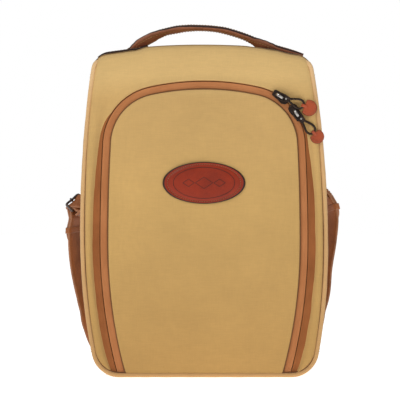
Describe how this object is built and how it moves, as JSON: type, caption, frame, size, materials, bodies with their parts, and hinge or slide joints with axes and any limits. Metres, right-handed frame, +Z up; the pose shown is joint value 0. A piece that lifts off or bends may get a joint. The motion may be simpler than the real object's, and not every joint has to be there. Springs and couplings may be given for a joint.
{
  "type": "binocular harness pack",
  "caption": "Small padded canvas and leather case with a zipped front door, carry handle and shoulder harness for carrying binoculars.",
  "frame": {"origin": "middle of the flat underside that the case stands on", "axes": "+Z up, the zipped front faces -Y, +X to the right seen from the front"},
  "size_m": [0.3164, 0.1674, 0.387],
  "materials": {
    "canvas": "tan cotton canvas, matt",
    "piping": "canvas-covered cord piping",
    "zip_tape": "brown woven zip tape",
    "zip_coil": "dark brown moulded coil",
    "slider_metal": "gunmetal plated casting",
    "puller_metal": "dark gunmetal",
    "buckle_metal": "gunmetal",
    "tab_leather": "red-brown leather",
    "patch_leather": "glossy red-brown leather",
    "handle_leather": "brown leather with dark edges",
    "strap_leather": "brown leather",
    "foam": "closed-cell foam sheet, as a light fabric",
    "board": "thin plastic stiffener",
    "lining": "brown lining cloth",
    "back_mesh": "brown spacer mesh",
    "shoulder_canvas": "padded canvas"
  },
  "bodies": {
    "case": {"back_board": "board", "back_cushion_left": "back_mesh", "back_cushion_right": "back_mesh", "back_foam": "foam", "back_panel": "canvas", "back_piping": "piping", "base_board": "board", "foam_base": "foam", "foam_left": "foam", "foam_right": "foam", "foam_top": "foam", "front_piping": "piping", "front_ring": "canvas", "gusset_base": "canvas", "gusset_left": "canvas", "gusset_right": "canvas", "gusset_top": "canvas", "handle_end_left": "handle_leather", "handle_end_right": "handle_leather", "handle_strip_left": "handle_leather", "handle_strip_right": "handle_leather", "lining": "lining", "lower_anchor_left": "strap_leather", "lower_anchor_right": "strap_leather", "lumbar_cushion": "back_mesh", "strap_yoke": "strap_leather", "upper_anchor_left": "strap_leather", "upper_anchor_right": "strap_leather", "zip_coil_case": "zip_coil", "zip_end_stops": "slider_metal", "zip_lip": "canvas", "zip_tape_case": "zip_tape"},
    "door": {"door_panel": "canvas", "door_foam": "foam", "door_lining": "lining", "zip_tape_door": "zip_tape", "zip_coil_door": "zip_coil", "patch": "patch_leather", "patch_backing": "strap_leather"},
    "slider_upper": {"slider_upper": "slider_metal"},
    "puller_upper": {"puller_upper": "puller_metal"},
    "puller_tab_upper": {"puller_tab_upper": "tab_leather"},
    "slider_lower": {"slider_lower": "slider_metal"},
    "puller_lower": {"puller_lower": "puller_metal"},
    "puller_tab_lower": {"puller_tab_lower": "tab_leather"},
    "handle": {"handle": "handle_leather"},
    "strap_left": {"shoulder_pad_left": "shoulder_canvas", "strap_tongue_left": "strap_leather", "lower_strap_left": "strap_leather", "keeper_left": "strap_leather", "buckle_frame_left": "buckle_metal"},
    "prong_left": {"buckle_prong_left": "buckle_metal"},
    "strap_right": {"shoulder_pad_right": "shoulder_canvas", "strap_tongue_right": "strap_leather", "lower_strap_right": "strap_leather", "keeper_right": "strap_leather", "buckle_frame_right": "buckle_metal"},
    "prong_right": {"buckle_prong_right": "buckle_metal"}
  },
  "joints": [
    {"name": "door_open", "type": "hinge", "parent": "case", "child": "door", "pos_m": [0, -0.06, 0.009], "axis": [1, 0, 0], "range_deg": [0, 90]},
    {"name": "slider_upper_run", "type": "hinge", "parent": "door", "child": "slider_upper", "pos_m": [0.0463, 0, 0.2556], "axis": [0, -1, 0], "range_deg": [0, 20]},
    {"name": "slider_lower_run", "type": "hinge", "parent": "door", "child": "slider_lower", "pos_m": [0.0463, 0, 0.2556], "axis": [0, 1, 0], "range_deg": [0, 28]},
    {"name": "puller_upper_flip", "type": "hinge", "parent": "slider_upper", "child": "puller_upper", "pos_m": [0.08317, -0.0652, 0.30925], "axis": [-0.3746, 0, -0.9272], "range_deg": [0, 120]},
    {"name": "puller_lower_flip", "type": "hinge", "parent": "slider_lower", "child": "puller_lower", "pos_m": [0.10151, -0.0652, 0.2901], "axis": [-0.7431, 0, -0.6691], "range_deg": [0, 120]},
    {"name": "puller_tab_upper_flip", "type": "hinge", "parent": "puller_upper", "child": "puller_tab_upper", "pos_m": [0.10774, -0.0652, 0.29932], "axis": [-0.3746, 0, -0.9272], "range_deg": [0, 60]},
    {"name": "puller_tab_lower_flip", "type": "hinge", "parent": "puller_lower", "child": "puller_tab_lower", "pos_m": [0.11924, -0.0652, 0.2704], "axis": [-0.7431, 0, -0.6691], "range_deg": [0, 60]},
    {"name": "handle_swing", "type": "hinge", "parent": "case", "child": "handle", "pos_m": [0, 0.022, 0.366], "axis": [1, 0, 0], "range_deg": [-60, 60]},
    {"name": "strap_left_swing", "type": "hinge", "parent": "case", "child": "strap_left", "pos_m": [-0.121, 0.0815, 0.034], "axis": [-0.2892, 0, -0.9573], "range_deg": [0, 20]},
    {"name": "strap_right_swing", "type": "hinge", "parent": "case", "child": "strap_right", "pos_m": [0.121, 0.0815, 0.034], "axis": [-0.2892, 0, 0.9573], "range_deg": [0, 20]},
    {"name": "prong_left_lift", "type": "hinge", "parent": "strap_left", "child": "prong_left", "pos_m": [-0.1515, 0.0815, 0.19], "axis": [0, -1, 0], "range_deg": [0, 18]},
    {"name": "prong_right_lift", "type": "hinge", "parent": "strap_right", "child": "prong_right", "pos_m": [0.131, 0.0815, 0.213], "axis": [0, 1, 0], "range_deg": [0, 18]}
  ]
}
